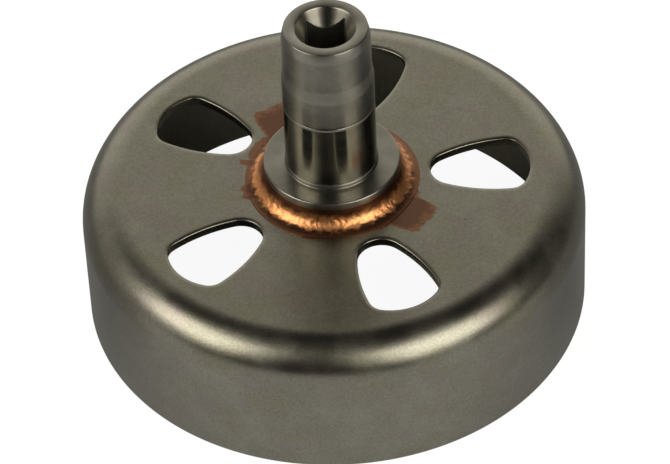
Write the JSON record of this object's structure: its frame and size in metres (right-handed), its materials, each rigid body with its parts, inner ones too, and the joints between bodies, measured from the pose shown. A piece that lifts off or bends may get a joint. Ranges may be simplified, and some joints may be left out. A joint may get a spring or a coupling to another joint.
{
  "type": "clutch drum",
  "caption": "Drawn steel clutch cup with rounded windows in its web and a brazed flanged hub with a square drive socket.",
  "frame": {"origin": "centre of the open rim's plane, on the drum's axis", "axes": "+Z along the drum's axis towards the end of the hub; +X to the right in the picture's view, which looks along +Y"},
  "size_m": [0.0832, 0.0832, 0.0576],
  "materials": {
    "drawn_steel": "satin drawn sheet, fine grain, heat tint and copper film round the hub",
    "turned_steel": "turned, with a polished bearing seat",
    "copper_braze": "bare copper, grainy, brown at its edges"
  },
  "bodies": {
    "root": {"drum_shell": "drawn_steel", "drive_hub": "turned_steel", "braze_fillet": "copper_braze"}
  },
  "joints": []
}
